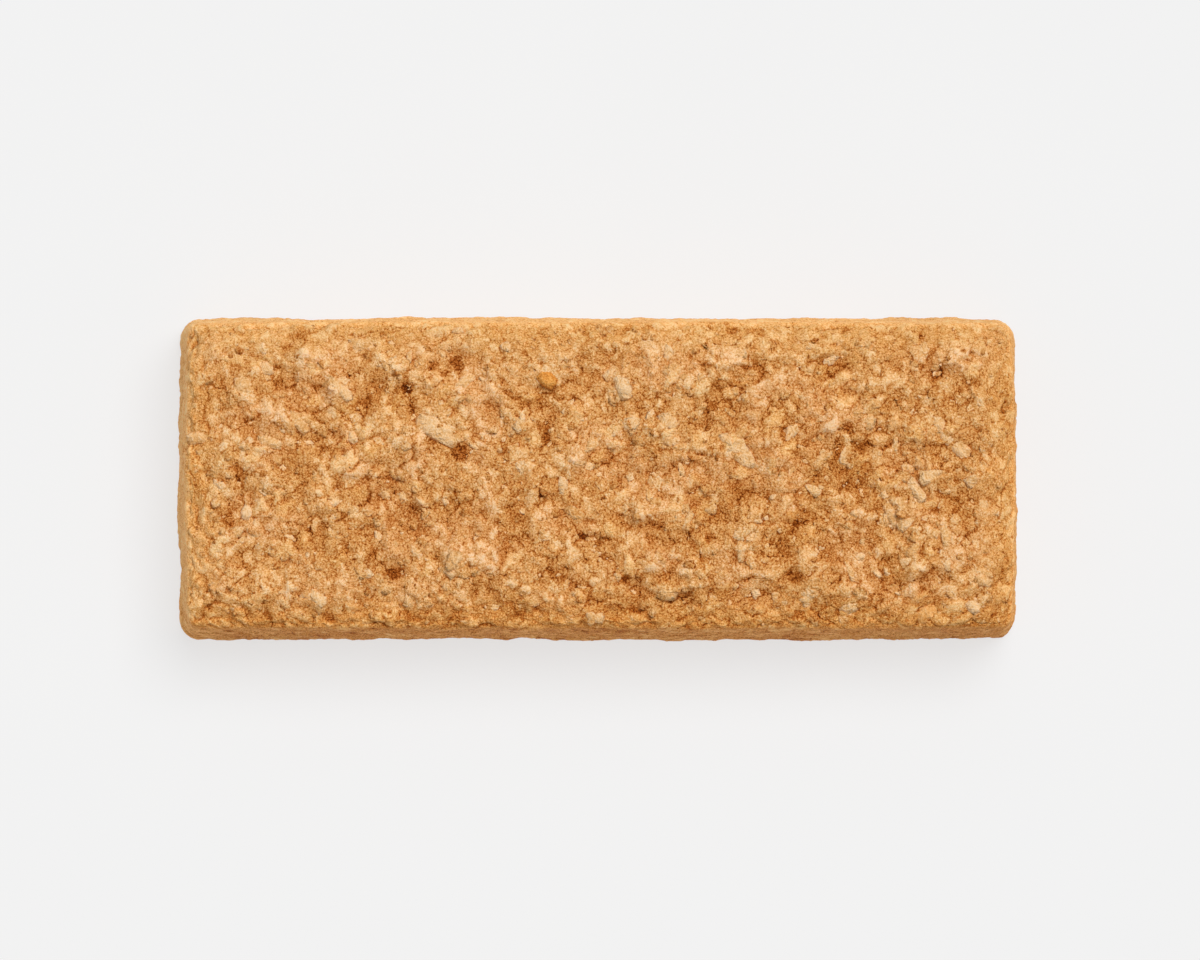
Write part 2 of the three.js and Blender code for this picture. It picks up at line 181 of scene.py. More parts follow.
class Graph:
    """A node tree, of a material or of geometry, that is written as Python expressions."""

    def __init__(self, tree: bpy.types.NodeTree) -> None:
        """Wraps a tree."""
        self.tree = tree
        self.is_shader = tree.bl_idname == "ShaderNodeTree"

    def node(
        self,
        kind: str,
        settings: dict[str, object],
        inputs: dict[int | str, "Value | object"],
        out: int | str = 0,
    ) -> Value:
        """Adds a node of any type.

        Args:
            kind: The node's type.
            settings: Its own settings, with a ramp's stops among them. They come first, as they decide its sockets.
            inputs: A value or a link for each input socket, by number or name.
            out: The output wanted, by number or name.

        Returns:
            That output.
        """
        node = self.tree.nodes.new(kind)
        for name, setting in settings.items():
            if name == "stops":
                self._set_stops(node.color_ramp, setting)
            else:
                setattr(node, name, setting)
        for key, given in inputs.items():
            socket = self._socket(node.inputs, key)
            if isinstance(given, Value):
                self.tree.links.new(given.socket, socket)
            elif socket.type == "RGBA":
                socket.default_value = (*given, 1.0)
            elif socket.type == "VECTOR" and isinstance(given, (int, float)):
                socket.default_value = (given,) * 3
            else:
                socket.default_value = given
        return Value(self, self._socket(node.outputs, out))

    @staticmethod
    def _socket(sockets: bpy.types.bpy_prop_collection, key: int | str) -> bpy.types.NodeSocket:
        """Finds a socket by its number, or by its name among those in use."""
        return sockets[key] if isinstance(key, int) else next(s for s in sockets if s.enabled and s.name == key)

    @staticmethod
    def _set_stops(ramp: bpy.types.ColorRamp, stops: tuple[tuple[float, Colour], ...]) -> None:
        """Sets a ramp's stops, each a place from 0 to 1 and a colour."""
        while len(ramp.elements) < len(stops):
            ramp.elements.new(1.0)
        for element, (place, colour) in zip(ramp.elements, stops, strict=True):
            element.position = place
            element.color = (*colour, 1.0)

    def deliver(self, result: Value) -> None:
        """Sends a shader or a geometry out of its tree."""
        end = self.tree.nodes.new("ShaderNodeOutputMaterial" if self.is_shader else "NodeGroupOutput")
        self.tree.links.new(result.socket, end.inputs[0])

    def attribute(self, name: str, kind: str = "FLOAT") -> Value:
        """Reads what the surface carries under a name."""
        if self.is_shader:
            out = "Vector" if kind == "FLOAT_VECTOR" else "Fac"
            return self.node("ShaderNodeAttribute", {"attribute_name": name}, {}, out)
        return self.node("GeometryNodeInputNamedAttribute", {"data_type": kind}, {"Name": name})

    def mix(self, share: Value | float, first: Value | Colour, second: Value | Colour) -> Value:
        """Mixes two colours, with a share from 0 to 1 of the second."""
        return self.node("ShaderNodeMix", {"data_type": "RGBA"}, {0: share, 6: first, 7: second}, 2)

    def laid_out(self, place: Value, rim: Value | float = 0.0) -> Value:
        """Lays a place out flat, as all patterns are drawn on a sheet: the walls fold out, and slopes draw it longer.

        Args:
            place: The place.
            rim: 0 in the middle of the top to 1 at its rim and on the walls.

        Returns:
            The place on the sheet.
        """
        outward = {}
        for axis, (start, end) in enumerate((FOLD_X, FOLD_Y)):
            along = place.part(axis)
            outward[axis] = along.step(start, end) - along.step(-start, -end)
        fold = self.node("ShaderNodeCombineXYZ", {}, outward)
        drawn = self.mix(rim, SLOPE_DRAW, fold)
        return place + drawn * (TOP_LEVEL - place.part(2)) + SHEET_ORIGIN

    def noise(self, place: Value, size: float, detail: float = 2.0, roughness: float = 0.5) -> Value:
        """Adds noise around 0, mostly from -0.5 to 0.5, with waves of a size and some finer layers, on the sheet."""
        inputs = {"Vector": place, "Scale": 1 / size, "Detail": detail, "Roughness": roughness}
        return self.node("ShaderNodeTexNoise", {"noise_dimensions": "2D"}, inputs, "Fac") - 0.5

    def bent(self, place: Value, size: float, reach: float) -> Value:
        """Moves a place about, so that what is drawn there gets wavy edges."""
        inputs = {"Vector": place, "Scale": 1 / size, "Detail": 1.0}
        wave = self.node("ShaderNodeTexNoise", {"noise_dimensions": "2D"}, inputs, "Color")
        return place + (wave - (0.5, 0.5, 0.5)) * (4 * reach)


@dataclass(frozen=True)
class Grains:
    """The grains of one layer at a place, as sockets of one graph."""

    height: Value  # over the dough, in millimetres
    body: Value  # 1 well inside a grain
    border: Value  # 1 on a grain's border
    chance: Value  # three chance numbers for each grain


@dataclass(frozen=True)
class GrainLayer:
    """Grains of one size that lie one way. Space is cut into uneven cells, and some of them hold a grain."""

    length: float
    width: float
    turn: float  # direction of their length in plan, in degrees
    share: float  # share of the cells that hold a grain
    height: float  # how far the highest stands out, in millimetres
    slant: float = 0.9  # how much a grain's top may slope
    flank: float = 0.22  # how wide its sloping flank is, as a share of a cell
    joint: float = 0.07  # how wide half of the joint between two grains is, as a share of a cell
    soft: float = 0.03

    def grains(self, graph: Graph, place: Value) -> Grains:
        """Works out the layer at a place.

        Args:
            graph: The tree to add it to.
            place: The place, laid out.

        Returns:
            The grains there.
        """
        sheet = {"voronoi_dimensions": "2D"}
        angle = math.radians(self.turn)
        along = place.dot((math.cos(angle) / self.length, math.sin(angle) / self.length, 0.0))
        across = place.dot((-math.sin(angle) / self.width, math.cos(angle) / self.width, 0.0))
        spot = graph.node("ShaderNodeCombineXYZ", {}, {0: along, 1: across})
        inputs = {"Vector": spot, "Scale": 1.0}
        middle = graph.node("ShaderNodeTexVoronoi", sheet, inputs, "Position")
        chance = Value(graph, middle.socket.node.outputs["Color"])
        edge = graph.node("ShaderNodeTexVoronoi", {**sheet, "feature": "DISTANCE_TO_EDGE"}, inputs, "Distance")
        none = 1 - self.share
        here = chance.part(0).step(none - self.soft, none + self.soft) if none else 1.0
        body = edge.step(0.0, self.flank) * here
        border = edge.step(self.joint, 0.0) * here
        slope = (spot - middle).dot(chance - (0.5, 0.5, 0.5)) * (2 * self.slant)
        stand = chance.part(1) * 0.55 + 0.45 + slope
        return Grains(body * stand.most(0.05) * self.height, body, border, chance)


@dataclass(frozen=True)
class Relief:
    """The crumb at a place, as sockets of one graph."""

    dough: Value  # height of the dough over the mean surface, in millimetres
    grains: Value  # height of the grains over the dough, in millimetres
    pale: Value  # 1 in the middle of a pale grain
    amber: Value  # 1 in the middle of a grain that is more orange than the rest
    golden: Value  # 1 in the middle of a grain that is more yellow
    joint: Value  # 1 in the joints between grains and in the long creases
    opened: Value  # 1 where joints have opened into cracks
    ragged: Value  # chance waves around 0 that fray the edges of pits


@dataclass(frozen=True)
class CrumbField:
    """Rubble of chopped oats in baked dough: flakes of two sizes, heaped over close granules of uneven dough."""

    granules: GrainLayer = GrainLayer(1.55 * MM, 1.15 * MM, 100, 1.0, 0.34, slant=0.6, flank=0.46, joint=0.07)
    flakes: tuple[GrainLayer, ...] = (
        GrainLayer(2.9 * MM, 1.9 * MM, 28, 0.34, 0.50, slant=0.6, flank=0.30, joint=0.045),
        GrainLayer(1.9 * MM, 1.3 * MM, -52, 0.45, 0.40, slant=0.7, flank=0.34, joint=0.055),
    )
    dough_size: float = 3.4 * MM
    dough_height: float = 1.9
    patch_size: float = 6.0 * MM  # of the areas with many or few pale granules
    wave_size: float = 0.9 * MM
    wave_reach: float = 0.26 * MM
    crease_size: float = 5.0 * MM
    crease_depth: float = 0.25  # in millimetres
    crack_patch: float = 3.0 * MM
    crack_range: tuple[float, float] = (0.08, 0.20)
    mean: float = 0.22  # the mean height of the grains, which is taken off

    def relief(self, graph: Graph, place: Value) -> Relief:
        """Works out the crumb at a place. The modelling and the finish both use it, so that they agree.

        Args:
            graph: The tree to add it to.
            place: The place before the crumb was raised, laid out.

        Returns:
            The crumb there.
        """
        bent = graph.bent(place, self.wave_size, self.wave_reach)
        granules = self.granules.grains(graph, bent)
        large, small = (layer.grains(graph, bent) for layer in self.flakes)
        top = granules.height.most(large.height).most(small.height)
        dough = graph.noise(place, self.dough_size, detail=4.0, roughness=0.62)
        bare = 1 - large.body.most(small.body)
        pale_ones = [grain.body * grain.chance.part(2).step(0.35, 0.80) for grain in (large, small, granules)]
        patch = graph.noise(place, self.patch_size, detail=2.0)
        many = patch.step(-0.12, 0.12) * 0.7 + 0.3
        crease = graph.noise(bent, self.crease_size, detail=1.0).size().step(0.035, 0.0) * patch.step(0.12, -0.04)
        ragged = graph.noise(place, 0.8 * MM, detail=2.0, roughness=0.6)
        border = (granules.border * bare).most(large.border).most(small.border)
        return Relief(
            dough=dough * self.dough_height - crease * self.crease_depth - self.mean,
            grains=top,
            pale=(pale_ones[0].most(pale_ones[1]) * 0.7).most(pale_ones[2] * many),
            amber=small.body * small.chance.part(1).step(0.90, 0.98),
            golden=large.body * large.chance.part(1).step(0.35, 0.65),
            joint=(border * ragged.step(-0.14, 0.14)).most(crease),
            opened=graph.noise(place, self.crack_patch, detail=2.0).step(*self.crack_range),
            ragged=ragged,
        )


# Colours of the crumb from its darkest, where painted shade falls in its pits and cracks, to its palest oats
TOAST = (
    (0.00, srgb(84, 32, 0)),
    (0.15, srgb(144, 70, 8)),
    (0.32, srgb(184, 110, 44)),
    (0.50, srgb(213, 151, 83)),
    (0.66, srgb(230, 175, 111)),
    (0.82, srgb(244, 199, 145)),
    (1.00, srgb(249, 212, 166)),
)


class Tint(Enum):
    """What the crumb's colour is multiplied by."""

    PLAIN = (1.0, 1.0, 1.0)
    GOLDEN = (1.02, 0.965, 0.78)
    ROSY = (1.0, 0.97, 1.0)
    AMBER = (1.02, 0.80, 0.44)
    PRESSED = (1.23, 1.08, 0.85)


@dataclass(frozen=True)
class Finish:
    """What the finishes share: a dull surface that light enters a little."""

    name: str
    roughness: float = 0.78
    specular: float = 0.10
    soak: float = 0.12  # share of the light that enters and comes out again nearby
    soak_depth: float = 0.6 * MM
    sand_size: float = 0.25 * MM
    curl_size: float = 0.50 * MM

    def material(self) -> bpy.types.Material:
        """Makes the material.

        Returns:
            The finished material.
        """
        made = bpy.data.materials.new(self.name)
        made.use_nodes = True
        made.node_tree.nodes.clear()
        graph = Graph(made.node_tree)
        colour, shine, height = self.surface(graph)
        bump = graph.node("ShaderNodeBump", {}, {"Height": height, "Distance": MM, "Strength": 1.0}, "Normal")
        shader = graph.node(
            "ShaderNodeBsdfPrincipled",
            {},
            {
                "Base Color": colour,
                "Roughness": shine,
                "Normal": bump,
                "Specular IOR Level": self.specular,
                "Subsurface Weight": self.soak,
                "Subsurface Radius": (1.0, 0.6, 0.35),
                "Subsurface Scale": self.soak_depth,
            },
        )
        graph.deliver(shader)
        return made

    def surface(self, graph: Graph) -> tuple[Value, Value, Value]:
        """Gives the colour, the roughness and the fine height in millimetres."""
        raise NotImplementedError

    def grit(self, graph: Graph, place: Value) -> tuple[Value, Value]:
        """Works out the finest grain: sandy flour, and the curls of thin lines in it.

        Args:
            graph: The material's tree.
            place: Where it is read, laid out.

        Returns:
            The sand, around 0, and the curls, 1 on their lines.
        """
        sand = graph.noise(place, self.sand_size, detail=1.5, roughness=0.9)
        bent = graph.bent(place, self.curl_size, 0.14 * MM)
        cells = {"Vector": bent, "Scale": 1 / self.curl_size}
        settings = {"voronoi_dimensions": "2D", "feature": "DISTANCE_TO_EDGE"}
        edge = graph.node("ShaderNodeTexVoronoi", settings, cells, "Distance")
        return sand, edge.step(0.15, 0.0)


@dataclass(frozen=True)
class CrustFinish(Finish):
    """Toasted crumb: sandy, browner in its joints, paler on its grains and golden at the rim, with painted shade in
    its hollows, creases, pits and cracks, where the hollows are partly browner toast too.
    """

    name: str = "toasted_crumb"
    crumb: CrumbField = CrumbField()
    middle: float = 0.590  # the tone of plain dough, from 0 to 1
    pale: float = 0.29  # what a pale grain adds to it
    mottle: float = 0.20  # and what each of the next adds or takes
    drift: float = 0.14
    sand: float = 0.96
    wall: float = 0.04
    curls: float = 0.21
    # cavity and hollow: painted shade under the grains and clumps around a point, partly also the browner toast of
    # the hollows
    cavity: float = 0.25
    hollow: float = 0.20
    # pit and crack: painted shade in the pits and in the joints that open into cracks
    pit: float = 0.05
    # joint: the darker colour of the joints between grains, and painted shade in the long creases
    joint: float = 0.21
    painted_crack_shade: float = 0.12
    rim_gold: float = 0.8  # how far the rim is tinted
    grain_gold: float = 0.6
    amber: float = 0.4
    pressed: float = 0.8

    def surface(self, graph: Graph) -> tuple[Value, Value, Value]:
        """Works out the crumb's finish.

        Args:
            graph: The material's tree.

        Returns:
            The colour, the roughness and the fine height in millimetres.
        """
        place = graph.node("ShaderNodeTexCoord", {}, {}, "Object")
        rim = graph.attribute(RIM)
        wall = graph.attribute(WALL)
        # Painted shade: the cavity and the hollow darken the tone where a point lies low, partly as browner toast
        cavity = graph.attribute(CAVITY).most(-0.10)
        hollow = graph.attribute(HOLLOW).least(0.55) * (1 - rim)
        lie = graph.attribute(LIE, "FLOAT_VECTOR")
        crumb = self.crumb.relief(graph, graph.laid_out(graph.attribute(REST, "FLOAT_VECTOR"), rim))
        sheet = graph.laid_out(place, rim)
        mottle = graph.noise(sheet, 1.1 * MM, detail=3.0, roughness=0.6)
        sand, curls = self.grit(graph, sheet)
        drift = graph.noise(sheet, 8 * MM, detail=1.0)
        # Painted shade in the pits and cracks
        pit = graph.attribute(PIT)
        painted_crack_shade = crumb.joint * crumb.opened.most(pit.step(0.1, 0.35))

        # Painted light and shade by side: surfaces facing left or back, and the back of the top, painted paler as if
        # lit; the front of the top painted darker as if in shade
        painted_left_light = lie.dot((-0.13, 0.0, 0.0)).most(0.0)
        back = place.part(1).step(12 * MM, 17 * MM) * 0.05
        front = place.part(1).step(-12 * MM, -19 * MM) * 0.06
        side = painted_left_light + lie.part(1) * 0.06 + back - front
        broad_tone = graph.attribute(TONE) * (1 - wall)
        tone = self.middle + crumb.pale * self.pale - cavity * self.cavity - hollow * self.hollow - pit * self.pit
        tone = tone + mottle * self.mottle + sand * self.sand + drift * self.drift
        # The joints' own darker colour, with painted shade in the creases
        tone = tone - crumb.joint * self.joint - painted_crack_shade * self.painted_crack_shade - curls * self.curls
        tone = tone + side + wall * self.wall + broad_tone
        colour = graph.node("ShaderNodeValToRGB", {"stops": TOAST}, {"Fac": tone}, "Color")
        tint = graph.mix(drift.step(-0.05, 0.12), Tint.PLAIN.value, Tint.ROSY.value)
        tint = graph.mix((rim * self.rim_gold).most(crumb.golden * self.grain_gold), tint, Tint.GOLDEN.value)
        tint = graph.mix(crumb.amber * self.amber, tint, Tint.AMBER.value)
        tint = graph.mix(wall * self.pressed, tint, Tint.PRESSED.value)

        shine = self.roughness + cavity * 0.2
        height = sand * 0.16
        return colour * tint, shine, height


@dataclass(frozen=True)
class MorselFinish(Finish):
    """Oats, nuts and loose crumbs: from brown to cream from piece to piece, with fine grain, and with painted shade
    and a painted warm bounce low on their sides.
    """

    name: str = "oats_and_nuts"
    grain: float = 1.0  # how strong the sandy grain of the colour is
    soak: float = 0.0
    cloud: float = 0.50
    curls: float = 0.16
    flank_shade: float = 0.10  # painted shade, partly also deeper toast: how much darker a piece's sides are than its top
    # painted warm bounce light on the shaded sides of each piece
    flank_painted_bounce: float = 0.4

    def surface(self, graph: Graph) -> tuple[Value, Value, Value]:
        """Works out the pieces' finish.

        Args:
            graph: The material's tree.

        Returns:
            The colour, the roughness and the fine height in millimetres.
        """
        place = graph.laid_out(graph.node("ShaderNodeTexCoord", {}, {}, "Object"))
        cloud = graph.noise(place, 0.9 * MM, detail=2.0, roughness=0.6)
        sand, curls = self.grit(graph, place)
        # flank is 1 low on a piece's sides, where painted shade darkens the tone and a painted warm bounce tints it
        flank = 1 - graph.attribute(CROWN)
        tone = graph.attribute(TONE) + cloud * self.cloud - flank * self.flank_shade
        tone = tone + sand * self.grain - curls * (self.curls * self.grain)
        colour = graph.node("ShaderNodeValToRGB", {"stops": TOAST}, {"Fac": tone}, "Color")
        amber = graph.attribute(AMBER).most(flank * self.flank_painted_bounce)
        colour = colour * graph.mix(amber, Tint.PLAIN.value, Tint.AMBER.value)
        shine = self.roughness + cloud * 0.15
        height = cloud * 0.40 + sand * 0.18
        return colour, shine, height


def deselect_all() -> None:
    """Leaves edit mode and deselects every object."""
    if bpy.context.object and bpy.context.object.mode != "OBJECT":
        bpy.ops.object.mode_set(mode="OBJECT")
    bpy.ops.object.select_all(action="DESELECT")


def make_active(thing: bpy.types.Object) -> None:
    """Selects one object alone and makes it the active one."""
    deselect_all()
    thing.select_set(True)
    bpy.context.view_layer.objects.active = thing


def select_parts(thing: bpy.types.Object, kind: str, test: Callable[..., bool]) -> None:
    """Selects vertices, edges or faces in edit mode.

    Args:
        thing: The object in edit mode.
        kind: VERT, EDGE or FACE.
        test: Says of each one whether it is selected.
    """
    bpy.ops.mesh.select_mode(type=kind)
    bpy.ops.mesh.select_all(action="DESELECT")
    mesh = bmesh.from_edit_mesh(thing.data)
    parts = {"VERT": mesh.verts, "EDGE": mesh.edges, "FACE": mesh.faces}[kind]
    for part in [part for part in parts if test(part)]:
        part.select_set(True)
    mesh.select_flush_mode()
    bmesh.update_edit_mesh(thing.data)


def apply_modifier(thing: bpy.types.Object, kind: str, **settings: object) -> None:
    """Adds a modifier to an object and applies it.

    Args:
        thing: The object.
        kind: The modifier's type.
        settings: The modifier's settings.
    """
    make_active(thing)
    modifier = thing.modifiers.new(kind.lower(), kind)
    for name, value in settings.items():
        setattr(modifier, name, value)
    bpy.ops.object.modifier_apply(modifier=modifier.name)


def geometry_graph(name: str) -> tuple[Graph, Value]:
    """Starts a geometry node tree.

    Args:
        name: The tree's name.

    Returns:
        The graph, and the geometry that comes in.
    """
    tree = bpy.data.node_groups.new(name, "GeometryNodeTree")
    tree.interface.new_socket("Geometry", in_out="INPUT", socket_type="NodeSocketGeometry")
    tree.interface.new_socket("Geometry", in_out="OUTPUT", socket_type="NodeSocketGeometry")
    graph = Graph(tree)
    return graph, graph.node("NodeGroupInput", {}, {})


def write_attribute(mesh: bpy.types.Mesh, name: str, kind: str, values: np.ndarray) -> None:
    """Writes numbers on a mesh's vertices under a name."""
    carried = mesh.attributes.new(name, kind, "POINT")
    key = "vector" if kind == "FLOAT_VECTOR" else "value"
    carried.data.foreach_set(key, values.astype(np.int32 if kind == "INT" else np.float32).ravel())


def read_vectors(data: bpy.types.bpy_prop_collection, key: str) -> np.ndarray:
    """Reads three numbers from each item of a mesh's list, such as its vertices' places."""
    flat = np.empty(3 * len(data), dtype=np.float32)
    data.foreach_get(key, flat)
    return flat.reshape(-1, 3)


@dataclass(frozen=True)
class Footprint:
    """Where a feature lies on the top: its middle and size in millimetres, and its turn in degrees."""

    x: float
    y: float
    length: float
    width: float
    turn: float

    def distance(self, points: np.ndarray) -> np.ndarray:
        """Works out how far points lie from the middle, as seen from above.

        Args:
            points: One row of X, Y and Z for each point.

        Returns:
            The square of each point's distance, which is 1 on the feature's oval outline.
        """
        angle = math.radians(self.turn)
        out_x = points[:, 0] / MM - self.x
        out_y = points[:, 1] / MM - self.y
        along = out_x * math.cos(angle) + out_y * math.sin(angle)
        across = out_y * math.cos(angle) - out_x * math.sin(angle)
        return (2 * along / self.length) ** 2 + (2 * across / self.width) ** 2


@dataclass(frozen=True)
class Mark(Footprint):
    """A soft-edged mark on the top."""

    strength: float

    def at(self, points: np.ndarray) -> np.ndarray:
        """Gives how strong the mark is at each point."""
        return self.strength * np.exp(-self.distance(points))


# Open pits and cracks on the top, each as strong as it is deep, in millimetres
DENTS = (
    Mark(-28.1, 8.5, 2.2, 1.7, 20, 0.7),
    Mark(-31.6, 9.6, 1.3, 0.9, 20, 0.8),
    Mark(-37.4, 5.4, 1.0, 0.7, 0, 0.6),
    Mark(-22.5, 10.2, 1.3, 1.0, -30, 1.0),
    Mark(1.2, 14.3, 1.8, 0.6, 25, 0.7),
    Mark(3.4, 12.5, 1.6, 1.3, 0, 0.9),
    Mark(12.3, 15.1, 5.2, 0.7, 30, 1.2),
    Mark(16.9, 12.5, 1.2, 0.8, 10, 0.7),
    Mark(25.3, 13.5, 4.6, 0.9, -8, 0.7),
    Mark(39.7, 12.1, 1.5, 1.2, 0, 0.8),
    Mark(27.9, 9.3, 2.0, 0.8, -15, 0.8),
    Mark(32.0, 9.2, 1.4, 0.8, 10, 0.8),
    Mark(24.5, 1.1, 4.6, 0.5, -40, 0.8),
    Mark(30.6, 0.0, 2.2, 0.9, -10, 0.5),
    Mark(-6.4, -2.8, 2.2, 1.4, 10, 0.9),
    Mark(-21.7, -4.3, 2.4, 1.1, -15, 1.0),
    Mark(-24.5, -1.6, 2.4, 0.6, -20, 0.7),
    Mark(25.1, -8.2, 2.4, 1.1, -40, 0.7),
    Mark(-35.7, -7.5, 2.2, 0.9, 15, 0.9),
    Mark(-34.1, -6.7, 1.2, 0.8, 60, 0.7),
    Mark(8.4, -14.8, 5.0, 1.0, 4, 0.7),
    Mark(16.7, -14.0, 3.0, 0.9, 12, 0.7),
    Mark(-14.2, -13.7, 1.2, 0.8, 0, 0.6),
    Mark(0.8, -2.6, 2.8, 0.5, 8, 0.6),
    Mark(-1.4, -7.4, 5.2, 0.8, -2, 1.0),
)


# Broad parts of the top that are painted darker or paler than the rest, each as strong as what it adds to the tone
PATCHES = (
    Mark(0.0, -5.0, 100.0, 14.0, -4, -0.02),
    Mark(25.0, -3.0, 22.0, 20.0, -20, -0.055),
    Mark(40.0, -4.0, 10.0, 12.0, 0, -0.05),
    Mark(10.0, -14.0, 34.0, 6.0, 4, -0.05),
    Mark(20.5, 5.5, 8.0, 8.0, 0, -0.045),
    Mark(34.0, 10.5, 16.0, 6.0, 0, -0.035),
    Mark(-38.5, 4.5, 8.0, 6.0, -20, -0.05),
    Mark(-6.0, 10.5, 22.0, 8.0, 0, 0.07),
    Mark(-38.5, 15.0, 7.0, 5.0, 0, 0.06),
    Mark(-33.0, -9.0, 8.0, 6.0, 0, -0.05),
    Mark(-19.0, -14.5, 7.0, 6.0, 0, -0.05),
    Mark(-2.0, 0.5, 14.0, 8.0, 0, 0.04),
    Mark(32.0, 4.5, 10.0, 6.0, 0, 0.05),
    Mark(-24.0, 11.0, 10.0, 8.0, 0, 0.04),
    Mark(14.5, 13.0, 9.0, 6.0, 0, 0.05),
)


class Form(Enum):
    """The forms of the small pieces, by their number."""

    CRUMB = 0
    NUB = 1
    SHARD = 2
    CHIP = 3
    SPLINTER = 4

    @property
    def roundness(self) -> float:
        """Gives how far the form is rounded, from 0 for a box to 1 for a ball."""
        return {Form.CRUMB: 0.8, Form.NUB: 0.9, Form.SHARD: 0.35, Form.CHIP: 0.6, Form.SPLINTER: 0.4}[self]


@dataclass(frozen=True)
class Chip(Footprint):
    """A pale piece on the top."""

    form: Form
    tone: float
    amber: float = 0.0

    def bed(self, points: np.ndarray) -> np.ndarray:
        """Gives how far the crumb is pressed flat under the piece at each point, from 0 to 1."""
        return np.clip(1.5 - self.distance(points), 0.0, 1.0)


# The pale pieces that stand out on the top
CHIPS = (
    Chip(-19.2, 5.3, 4.4, 2.4, -28, Form.CHIP, 0.84),
    Chip(16.6, 2.2, 3.4, 2.0, -58, Form.SHARD, 0.83),
    Chip(14.9, 4.2, 1.9, 1.0, -40, Form.NUB, 0.81),
    Chip(2.8, 10.3, 2.4, 1.5, -70, Form.NUB, 0.89),
    Chip(37.0, -1.7, 2.7, 1.3, -58, Form.CHIP, 0.83),
    Chip(38.7, -0.2, 2.5, 1.5, 8, Form.SHARD, 0.79),
    Chip(34.1, -4.5, 2.9, 1.3, -62, Form.CHIP, 0.75),
    Chip(35.9, -5.8, 1.9, 1.1, 24, Form.SHARD, 0.79),
    Chip(-41.5, -4.3, 1.2, 1.7, -10, Form.NUB, 0.91),
    Chip(-33.2, -14.4, 1.9, 1.3, -40, Form.CHIP, 0.85),
    Chip(-6.2, 11.4, 2.0, 1.7, -30, Form.NUB, 0.66, 1.0),
    Chip(-30.6, 10.1, 3.0, 1.3, -45, Form.CHIP, 0.81),
    Chip(-17.2, -10.1, 1.6, 2.2, -10, Form.SHARD, 0.73),
    Chip(10.2, -5.4, 2.8, 0.8, 60, Form.SPLINTER, 0.77),
    Chip(29.3, -11.3, 3.1, 0.9, -64, Form.SPLINTER, 0.77),
    Chip(30.4, -9.5, 1.2, 0.9, 10, Form.NUB, 0.87),
    Chip(44.9, -12.3, 2.0, 1.2, -12, Form.NUB, 0.72),
    Chip(-0.7, -16.7, 1.8, 1.2, -10, Form.CHIP, 0.77),
    Chip(42.3, 3.0, 3.2, 1.8, -50, Form.CHIP, 0.78),
    Chip(43.7, -0.7, 1.5, 1.4, 30, Form.SHARD, 0.77),
    Chip(-0.9, 3.6, 1.4, 2.0, -20, Form.SHARD, 0.73),
    Chip(9.2, 3.2, 1.6, 1.0, 20, Form.CHIP, 0.71),
    Chip(9.4, 0.9, 2.7, 0.7, -76, Form.SPLINTER, 0.73),
    Chip(5.6, -2.3, 2.0, 0.8, -82, Form.SPLINTER, 0.73),
    Chip(17.6, -7.3, 1.5, 0.8, 60, Form.CHIP, 0.83),
    Chip(22.3, 0.3, 1.9, 0.6, 66, Form.SPLINTER, 0.73),
    Chip(34.7, 3.3, 3.0, 0.6, 90, Form.SPLINTER, 0.77),
    Chip(36.0, 0.9, 1.4, 1.8, 10, Form.CHIP, 0.69),
    Chip(40.5, -7.2, 2.6, 1.3, -75, Form.CHIP, 0.74),
    Chip(36.7, -8.9, 1.8, 1.2, 30, Form.SHARD, 0.73, 0.3),
    Chip(38.2, -16.4, 2.4, 1.9, 20, Form.CHIP, 0.70, 0.5),
    Chip(-39.3, 12.5, 1.4, 1.7, 10, Form.CHIP, 0.80),
    Chip(-42.1, 10.5, 1.8, 2.0, -20, Form.CHIP, 0.74),
    Chip(-27.8, 15.3, 3.2, 1.5, -5, Form.CHIP, 0.74),
    Chip(-29.1, 4.6, 1.0, 1.5, 15, Form.NUB, 0.84),
    Chip(-22.5, 13.9, 0.8, 1.6, -5, Form.SPLINTER, 0.76),
    Chip(-16.7, 17.1, 1.3, 0.9, 0, Form.NUB, 0.80),
    Chip(-15.8, 11.1, 2.2, 1.4, 50, Form.CHIP, 0.77),
    Chip(-47.4, 4.4, 2.0, 1.5, 10, Form.CHIP, 0.72),
    Chip(-38.8, 3.9, 2.4, 1.5, -10, Form.CHIP, 0.74),
    Chip(-35.5, 6.2, 2.6, 1.3, -45, Form.CHIP, 0.73),
)


